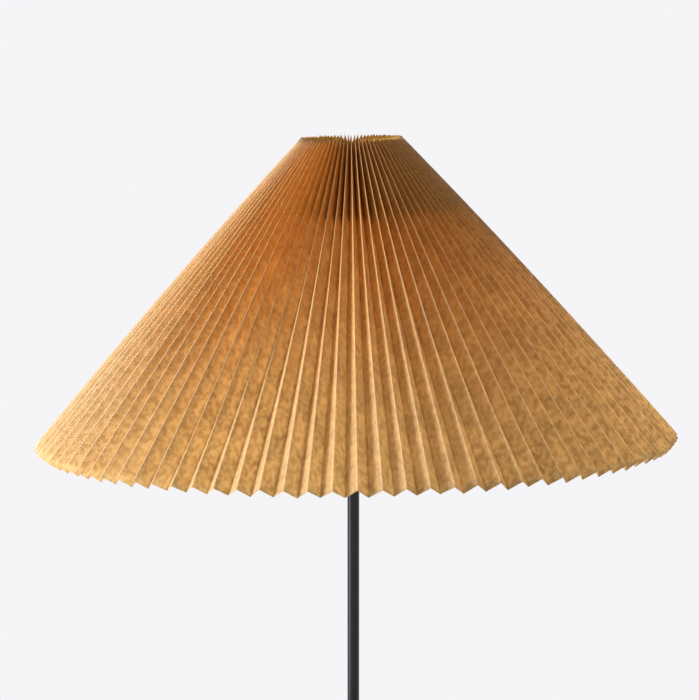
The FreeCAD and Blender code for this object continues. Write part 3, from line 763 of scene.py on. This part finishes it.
@dataclass
class PleatedShade:
    """The paper: ten sheets of parallel folds, drawn together at the top, hung on the carrier."""

    sheets: int = 10
    sheet_pleats: int = 9
    top_radius: float = 0.0526
    bottom_radius: float = 0.340
    height: float = 0.320
    bow: float = 0.003
    facet: float = 0.0168
    thickness: float = 0.0003
    lean: float = 0.017
    top_rise: float = 0.0050
    pivot_drop: float = 0.05
    stations: int = 48
    across: tuple[float, ...] = (0.0, 0.035, 0.35, 0.65, 0.965)
    seed: int = 11
    unevenness: float = 0.0006
    ripple_share: float = 0.6
    trim_share: float = 1.3
    inward_share: float = 0.5
    swing_share: float = 1.5
    wave_share: float = 0.6
    loose_top: float = 0.5
    trim_power: int = 8
    rise_power: int = 12

    def __post_init__(self) -> None:
        """Works out the slope, the place on the lamp and how uneven each fold is."""
        spread = self.bottom_radius - self.top_radius
        self.slant = math.hypot(spread, self.height)
        self.out = spread / self.slant
        self.down = self.height / self.slant
        self.pleats = self.sheets * self.sheet_pleats
        self.half_pitch = math.pi / self.pleats
        self.closing = 1 - math.cos(self.half_pitch)
        self.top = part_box("shade_sheet_01")[1].z - self.mitre(0) * self.out
        self.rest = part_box("crown_hoop_lower")[0].z
        draw = random.Random(self.seed)
        count = len(fields(FoldQuirk))
        self.quirks = [FoldQuirk(*[draw.uniform(-1, 1) for _ in range(count)])
                       for _ in range(2 * self.pleats)]

    def place(self, slant: float, inward: float) -> tuple[float, float]:
        """Radius and height of a point.

        Args:
            slant: How far down the slant it lies.
            inward: How far inside the outer folds it lies.

        Returns:
            Its radius, and its height from the upper edge.
        """
        along = slant / self.slant
        square = 4 * self.bow * along * (1 - along) - inward
        radius = self.top_radius + slant * self.out + square * self.down
        return radius, -slant * self.down + square * self.out

    def depth(self, slant: float) -> float:
        """How far the inner folds lie inside the outer ones.

        Args:
            slant: How far down the slant.

        Returns:
            The depth, square to the slant.
        """
        radius = self.place(slant, 0)[0]
        tip = radius * self.down * self.closing
        return tip + math.sqrt(tip**2 - 2 * radius**2 * self.closing + self.facet**2)

    def mitre(self, slant: float) -> float:
        """Half the paper's thickness at a fold, measured square to the slant."""
        outer, inner = self.place(slant, 0)[0], self.place(slant, self.depth(slant))[0]
        return self.thickness / 2 * self.facet / math.sqrt(2 * outer * inner * self.closing)

    def fold_point(self, fold: int, slant: float) -> Vector:
        """A point on a fold line, with the small unevenness of hand-folded paper.

        Args:
            fold: Number of the fold; the odd ones are the outer folds.
            slant: How far down the slant.

        Returns:
            The point on the lamp.
        """
        quirk = self.quirks[fold % len(self.quirks)]
        inner = fold % 2 == 0
        along = slant / self.slant
        wave = (quirk.wave * math.sin(math.pi * along)
                + self.ripple_share * quirk.ripple * math.sin(2 * math.pi * along + quirk.phase))
        trim = slant + self.trim_share * self.unevenness * (
            quirk.foot_trim * along**self.trim_power
            + quirk.head_trim * (1 - along) ** self.trim_power)
        trim -= self.top_rise * inner * (1 - along) ** self.rise_power
        inward = self.depth(slant) * inner + self.inward_share * self.unevenness * wave
        radius, height = self.place(trim, inward)
        loose = along**2 + self.loose_top * (1 - along) ** 4
        swing = (self.swing_share * self.unevenness
                 * (self.wave_share * wave + quirk.drift * loose)) / radius
        angle = -math.pi / 2 + (fold - 1) * self.half_pitch + swing
        return Vector((radius * math.cos(angle), radius * math.sin(angle), self.top + height))

    def hang(self, point: Vector) -> Vector:
        """Leans a point with the shade, about a point a little below the carrier's lower hoop."""
        rise = point.z - self.rest + self.pivot_drop
        return Vector((point.x - rise * self.lean, point.y, point.z + point.x * self.lean))

    def sheet(self, number: int) -> bpy.types.Object:
        """One sheet of paper.

        Args:
            number: Which sheet, from 0.

        Returns:
            Its piece.
        """
        first = number * 2 * self.sheet_pleats
        columns = []
        for step in range(2 * self.sheet_pleats):
            for share in self.across:
                columns.append((first + step, share))
        columns.append((first + 2 * self.sheet_pleats, 0.0))
        verts, marks = [], []
        for fold, share in columns:
            quirk = self.quirks[fold % len(self.quirks)]
            for j in range(self.stations + 1):
                slant = self.slant * j / self.stations
                start = self.fold_point(fold, slant)
                end = self.fold_point(fold + 1, slant) if share else start
                sag = Vector((-start.y, start.x, 0)).normalized() * quirk.sag * self.unevenness
                bulge = 4 * share * (1 - share) * math.sin(math.pi * j / self.stations)
                verts.append(self.hang(start.lerp(end, share) + sag * bulge))
                outer = share if fold % 2 else 1 - share
                marks.append((self.facet * (fold + share), slant, outer))
        rows = self.stations + 1
        faces = []
        for i in range(len(columns) - 1):
            for j in range(self.stations):
                a = i * rows + j
                faces.append((a, a + rows, a + rows + 1, a + 1))
        piece = settle(f"paper_sheet_{number + 1:02d}", verts, faces, sharp=180)
        layer = piece.data.attributes.new("paper", "FLOAT_VECTOR", "POINT")
        layer.data.foreach_set("vector", [x for mark in marks for x in mark])
        wall = piece.modifiers.new("paper", "SOLIDIFY")
        wall.thickness = self.thickness
        wall.offset = 0
        return piece

    def build(self) -> None:
        """Makes and hangs every sheet."""
        for number in range(self.sheets):
            stand_in(self.sheet(number), KRAFT, "shade", f"shade_sheet_{number + 1:02d}")


@dataclass
class Carrier:
    """Two hoops, ribs and a dark lining cone, which the folds are glued to, on arms and a hub."""

    lining_wall: float = 0.0005
    rim_band: float = 0.001
    hoop_wall: float = 0.0015
    hub_bore: float = 0.0034
    edge: float = 0.0004
    finial_bore: float = 0.0031
    finial_wall: float = 0.0012
    finial_edge: float = 0.0007

    def hoop(self, name: str) -> bpy.types.Object:
        """One hoop.

        Args:
            name: Its CAD node.

        Returns:
            Its piece.
        """
        low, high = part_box(name)
        radius = high.x
        outline = ring_outline(radius - self.hoop_wall, radius, low.z, high.z, self.edge)
        return turn(f"{name}_bar", outline, sides=128)

    def lining(self) -> bpy.types.Object:
        """The lining cone, from the CAD node's own corners.

        Returns:
            Its piece.
        """
        low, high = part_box("crown_lining")
        points = [v.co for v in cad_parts["crown_lining"].data.vertices]
        crown = max(math.hypot(p.x, p.y) for p in points if p.z > high.z - self.rim_band)
        outline = [(crown, high.z), (high.x, low.z), (high.x - self.lining_wall, low.z),
                   (crown - self.lining_wall, high.z)]
        return turn("lining_cone", outline, sides=128)

    def hub(self) -> bpy.types.Object:
        """The hub that sits on the harp's stud.

        Returns:
            Its piece.
        """
        low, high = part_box("spider_hub")
        outline = ring_outline(self.hub_bore, high.x, low.z, high.z, self.edge)
        return turn("hub_disc", outline, sides=64)

    def finial(self) -> bpy.types.Object:
        """The low disc that clamps the hub.

        Returns:
            Its piece.
        """
        low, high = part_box("finial")
        bore, under = self.finial_bore, high.z - self.finial_wall
        outline = [(0.0, high.z), (high.x - self.finial_wall, high.z), (high.x, under),
                   (high.x, low.z), (bore, low.z), (bore, under), (0.0, under)]
        return turn("finial_disc", soften(outline, self.finial_edge, closed=False), closed=False)

    def build(self) -> None:
        """Makes and dresses the carrier."""
        for name in ("crown_hoop_upper", "crown_hoop_lower"):
            stand_in(self.hoop(name), BLACK_WIRE, "shade", name)
        stand_in(self.lining(), LINING_CARD, "shade", "crown_lining")
        stand_in(self.hub(), BLACK_WIRE, "shade", "spider_hub")
        stand_in(self.finial(), SATIN_BLACK, "finial", "finial")
        carry(BLACK_WIRE, "crown_ribs", "spider_arms")


# ---------------------------------------------------------------- harp, socket and bulb


@dataclass
class Harp:
    """The bent wire that carries the shade past the bulb, on a saddle with two sliding ferrules."""

    wire: float = 0.002
    foot: float = 0.032
    belly: float = 0.060
    leg: float = 0.042
    crown: float = 0.025
    belly_share: float = 0.55
    bend_share: float = 0.45
    bend_steps: int = 14
    ferrule_bore: float = 0.00215
    ferrule_edge: float = 0.0008

    def line(self) -> list[Vector]:
        """The wire's middle line.

        Returns:
            Its points.
        """
        low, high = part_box("harp")
        top = high.z - self.wire
        knee = low.z + self.leg
        waist = low.z + self.belly_share * (top - low.z)
        half = [(self.foot, low.z), (self.foot, knee), (self.belly, waist), (self.crown, top)]
        corners = [(-x, z) for x, z in half] + half[::-1]
        points = [corners[0]]
        for before, here, after in zip(corners, corners[1:], corners[2:]):
            middle = Vector(here)
            back, on = Vector(before) - middle, Vector(after) - middle
            reach = self.bend_share * min(back.length, on.length)
            start, end = middle + back.normalized() * reach, middle + on.normalized() * reach
            points += curve(start, middle, end, self.bend_steps)
        points.append(corners[-1])
        return [Vector((x, 0, z)) for x, z in points]

    def ferrule(self, name: str) -> bpy.types.Object:
        """One ferrule.

        Args:
            name: Its CAD node.

        Returns:
            Its piece.
        """
        low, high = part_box(name)
        middle = (low + high) / 2
        radius = (high.x - low.x) / 2
        outline = ring_outline(self.ferrule_bore, radius, low.z, high.z, self.ferrule_edge)
        return turn(f"{name}_sleeve", outline, (middle.x, middle.y, 0), sides=48)

    def build(self) -> None:
        """Makes and dresses the harp."""
        stand_in(bend("harp_wire", self.line(), self.wire), BLACK_WIRE, "stand", "harp")
        for side in ("left", "right"):
            name = f"harp_ferrule_{side}"
            stand_in(self.ferrule(name), PLATED_STEEL, f"ferrule_{side}", name)
        carry(BLACK_WIRE, "harp_saddle")
        carry(PLATED_STEEL, "harp_stud", "socket_nipple")


@dataclass
class Socket:
    """Brass cap and shell round a card liner and the switch block, with a fluted knob in front."""

    wall: float = 0.0008
    neck: float = 0.0075
    shoulder: float = 0.008
    floor: float = 0.013
    thread_bore: float = 0.0041
    edge: float = 0.0016

    def cap(self) -> bpy.types.Object:
        """The cup that stands on the saddle.

        Returns:
            Its piece.
        """
        low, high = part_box("socket_cap")
        radius, floor = high.x, low.z + self.floor
        outside = [(self.thread_bore, low.z), (self.neck, low.z),
                   (self.neck, low.z + self.shoulder), (radius, floor), (radius, high.z)]
        inside = [(radius - self.wall, high.z), (radius - self.wall, floor + self.wall),
                  (self.thread_bore, floor + self.wall)]
        return turn("socket_cup", soften(outside + inside, self.edge))

    def build(self) -> None:
        """Makes and dresses the socket."""
        stand_in(self.cap(), SOCKET_BRASS, "stand", "socket_cap")
        carry(SOCKET_BRASS, "socket_shell", "screw_shell", "centre_contact")
        carry(SOCKET_CARD, "socket_liner")
        carry(PHENOLIC, "switch_block")
        carry(PLATED_STEEL, "switch_shaft")
        carry(KNOB_PLASTIC, "switch_knob")


@dataclass
class Bulb:
    """An opal globe bulb with a rolled screw cap."""

    neck: float = 0.0136
    neck_length: float = 0.006
    globe_start: float = -28.0
    fairing: float = 0.42
    fairing_steps: int = 16
    globe_steps: int = 32
    contact: float = 0.0048
    insulator: Pair = (0.0062, 0.0018)
    thread_start: Pair = (0.0016, 0.0052)
    thread_pitch: float = 0.0036
    thread_depth: float = 0.0006
    thread_turns: int = 4
    turn_steps: int = 10
    rim: Pair = (0.0006, 0.0008)

    def glass(self) -> bpy.types.Object:
        """The glass, from its neck to the top of the globe.

        Returns:
            Its piece.
        """
        low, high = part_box("bulb_glass")
        radius = high.x
        centre = high.z - radius
        start = math.radians(self.globe_start)
        meet = Vector((radius * math.cos(start), centre + radius * math.sin(start)))
        throat = Vector((self.neck, low.z + self.neck_length))
        slope = Vector((-math.sin(start), math.cos(start)))
        reach = (meet - throat).length * self.fairing
        pull = (throat + Vector((0, 1)) * reach, meet - slope * reach)
        outline: Outline = [(0.0, low.z), (self.neck, low.z)]
        for step in range(self.fairing_steps + 1):
            t = step / self.fairing_steps
            point = (throat * (1 - t) ** 3 + pull[0] * 3 * t * (1 - t) ** 2
                     + pull[1] * 3 * t**2 * (1 - t) + meet * t**3)
            outline.append(tuple(point))
        for step in range(1, self.globe_steps + 1):
            angle = start + (math.pi / 2 - start) * step / self.globe_steps
            across = radius * math.cos(angle) if step < self.globe_steps else 0.0
            outline.append((across, centre + radius * math.sin(angle)))
        return turn("bulb_globe", outline, closed=False)

    def cap(self) -> bpy.types.Object:
        """The screw cap with its rolled thread.

        Returns:
            Its piece.
        """
        low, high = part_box("bulb_cap")
        radius = high.x
        start = low.z + self.thread_start[1]
        outline: Outline = [(0.0, low.z), (self.contact, low.z),
                            (self.insulator[0], low.z + self.insulator[1]),
                            (radius - self.thread_start[0], start)]
        for step in range(self.thread_turns * self.turn_steps + 1):
            phase = 2 * math.pi * step / self.turn_steps
            height = start + self.thread_pitch * step / self.turn_steps
            outline.append((radius - self.thread_depth * (1 - math.cos(phase)), height))
        outline += [(radius, high.z - self.rim[1]), (radius - self.rim[0], high.z), (0.0, high.z)]
        return turn("bulb_screw_cap", outline, closed=False)

    def build(self) -> None:
        """Makes and dresses the bulb."""
        stand_in(self.glass(), OPAL, "bulb", "bulb_glass")
        stand_in(self.cap(), CAP_METAL, "bulb", "bulb_cap")


# ---------------------------------------------------------------- pole and base


@dataclass
class Pole:
    """Three screwed tube sections on a turned collar."""

    wall: float = 0.001
    edge: float = 0.0005
    collar_neck: float = 0.009
    collar_foot: float = 0.0025
    collar_play: float = 0.0001
    collar_edge: float = 0.0012

    def section(self, name: str) -> bpy.types.Object:
        """One tube section.

        Args:
            name: Its CAD node.

        Returns:
            Its piece.
        """
        low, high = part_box(name)
        outline = ring_outline(high.x - self.wall, high.x, low.z, high.z, self.edge)
        return turn(f"{name}_tube", outline)

    def collar(self) -> bpy.types.Object:
        """The collar between the pole and the base.

        Returns:
            Its piece.
        """
        low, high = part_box("pole_collar")
        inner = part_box("pole_lower")[1].x + self.collar_play
        outline = [(inner, low.z), (high.x, low.z), (high.x, low.z + self.collar_foot),
                   (self.collar_neck, high.z), (inner, high.z)]
        return turn("collar_cone", soften(outline, self.collar_edge))

    def build(self) -> None:
        """Makes and dresses the pole."""
        for name in ("pole_lower", "pole_middle", "pole_upper"):
            stand_in(self.section(name), SATIN_BLACK, "stand", name)
        stand_in(self.collar(), SATIN_BLACK, "stand", "pole_collar")
        carry(BLACK_WIRE, "pole_bushes", "joint_nipple_lower", "joint_nipple_upper")


@dataclass
class Base:
    """A spun cover over a cast weight on a felt pad, with a grommet at the back for the cord."""

    cover_wall: float = 0.0012
    corner: float = 0.007
    corner_steps: int = 8
    bore: float = 0.0041
    grommet_bore: float = 0.0034
    grommet_neck: float = 0.0049
    lip: float = 0.0014
    lip_edge: float = 0.0006

    def cover(self) -> bpy.types.Object:
        """The spun cover.

        Returns:
            Its piece.
        """
        low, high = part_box("base_cover")
        radius, wall = high.x, self.cover_wall

        def shell(inset: float) -> Outline:
            """Half of the section: up the wall, round the corner and in to the middle.

            Args:
                inset: How far inside the cover's outer face it lies.

            Returns:
                The line.
            """
            points: Outline = [(radius - inset, low.z)]
            bow = self.corner - inset
            for step in range(self.corner_steps + 1):
                angle = math.pi / 2 * step / self.corner_steps
                points.append((radius - self.corner + bow * math.cos(angle),
                               high.z - self.corner + bow * math.sin(angle)))
            return points + [(self.bore, high.z - inset)]

        return turn("base_disc", shell(0) + shell(wall)[::-1], sides=192)

    def grommet(self) -> bpy.types.Object:
        """The rubber grommet, lying along the inlet's axis.

        Returns:
            Its piece.
        """
        low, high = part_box("cord_grommet")
        radius, length = (high.x - low.x) / 2, high.y - low.y
        outline = [(self.grommet_bore, 0), (radius, 0), (radius, self.lip),
                   (self.grommet_neck, self.lip), (self.grommet_neck, length - self.lip),
                   (radius, length - self.lip), (radius, length), (self.grommet_bore, length)]
        foot = (0, low.y, (low.z + high.z) / 2)
        return turn("inlet_grommet", soften(outline, self.lip_edge), foot, Axis.BACK, sides=48)

    def build(self) -> None:
        """Makes and dresses the base."""
        stand_in(self.cover(), SATIN_BLACK, "stand", "base_cover")
        stand_in(self.grommet(), RUBBER, "stand", "cord_grommet")
        carry(CAST_IRON, "base_weight")
        carry(FELT, "base_pad")
        carry(PLATED_STEEL, "base_washer", "base_nut", "base_nipple")


# ---------------------------------------------------------------- studio


@dataclass
class Lamp:
    """A soft rectangular studio light."""

    name: str
    place: tuple[float, float, float]
    aim: tuple[float, float, float]
    power: float
    size: tuple[float, float]
    colour: Colour = (1, 1, 1)
    mirrored: bool = True

    def build(self) -> None:
        """Makes the light."""
        light = bpy.data.lights.new(self.name, "AREA")
        light.shape = "RECTANGLE"
        light.size, light.size_y = self.size
        light.energy = self.power
        light.color = self.colour
        made = bpy.data.objects.new(self.name, light)
        made.visible_camera = False
        made.visible_glossy = self.mirrored
        made.location = self.place
        toward = Vector(self.aim) - Vector(self.place)
        made.rotation_euler = toward.to_track_quat("-Z", "Y").to_euler()
        bpy.context.scene.collection.objects.link(made)


@dataclass
class Studio:
    """Camera, backdrop, floor and lights."""

    backdrop: Colour = (0.913, 0.905, 0.930)
    fill: float = 0.27
    floor_radius: float = 3.2
    picture_width: int = 699
    focal_pixels: float = 3011.0
    distance: float = 3.2
    elevation: float = 0.147
    aim_drop_pixels: float = 86.5
    sideways: float = -0.0041
    sensor: float = 36.0
    rim_rise: float = 0.0083
    reach: float = 50.0
    floor_rings: int = 8
    lights: list[Lamp] = field(default_factory=lambda: [
        Lamp("key", (-2.9, -0.9, 2.0), (0, 0, 1.35), 112, (1.0, 1.2), (1.0, 0.985, 0.97)),
        Lamp("window", (-2.9, -0.9, 0.5), (0, 0, 0.9), 34, (0.7, 1.5), (0.93, 0.95, 1.0)),
        Lamp("under", (-1.0, 0.9, 0.02), (-1.0, 0.9, 1.3), 98, (1.7, 1.3), (1.0, 0.98, 0.95),
             mirrored=False),
    ])

    def camera(self) -> None:
        """Puts the camera where the photograph was taken from."""
        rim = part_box("shade_sheet_01")[0].z + self.rim_rise
        data = bpy.data.cameras.new("camera")
        data.sensor_fit = "HORIZONTAL"
        data.sensor_width = self.sensor
        data.lens = self.focal_pixels * self.sensor / self.picture_width
        data.clip_end = self.reach
        made = bpy.data.objects.new("camera", data)
        made.location = (self.sideways, -self.distance * math.cos(self.elevation),
                         rim + self.distance * math.sin(self.elevation))
        pitch = self.elevation - math.atan(self.aim_drop_pixels / self.focal_pixels)
        made.rotation_euler = (math.pi / 2 - pitch, 0, 0)
        bpy.context.scene.collection.objects.link(made)
        bpy.context.scene.camera = made

    def world(self) -> None:
        """A backdrop that looks pale and lights the lamp softly."""
        world = bpy.data.worlds.new("studio")
        world.use_nodes = True
        bpy.context.scene.world = world
        graph = Graph(world.node_tree)
        strength = self.fill + seen_directly(graph) * (1 - self.fill)
        light = graph.node("ShaderNodeBackground", None, {
            "Color": rgba(self.backdrop), "Strength": strength})
        graph.node("ShaderNodeOutputWorld", None, {"Surface": light})

    def floor(self) -> None:
        """The floor under the lamp."""
        steps = self.floor_rings
        rings = [(self.floor_radius * (1 - k / steps), 0.0) for k in range(steps + 1)]
        disc = turn("studio_floor", rings, closed=False)
        Floor(backdrop=self.backdrop).dress(disc)

    def build(self) -> None:
        """Makes the studio."""
        bpy.context.scene.view_settings.view_transform = "Standard"
        self.camera()
        self.world()
        self.floor()
        for light in self.lights:
            light.build()


def main() -> None:
    """Builds the lamp and the studio."""
    logging.basicConfig(level=logging.INFO, format="%(name)s: %(message)s")
    for part in (Studio(), PleatedShade(), Carrier(), Harp(), Socket(), Bulb(), Pole(), Base()):
        part.build()
        log.info("%s is done", type(part).__name__)


if __name__ == "__main__":
    main()
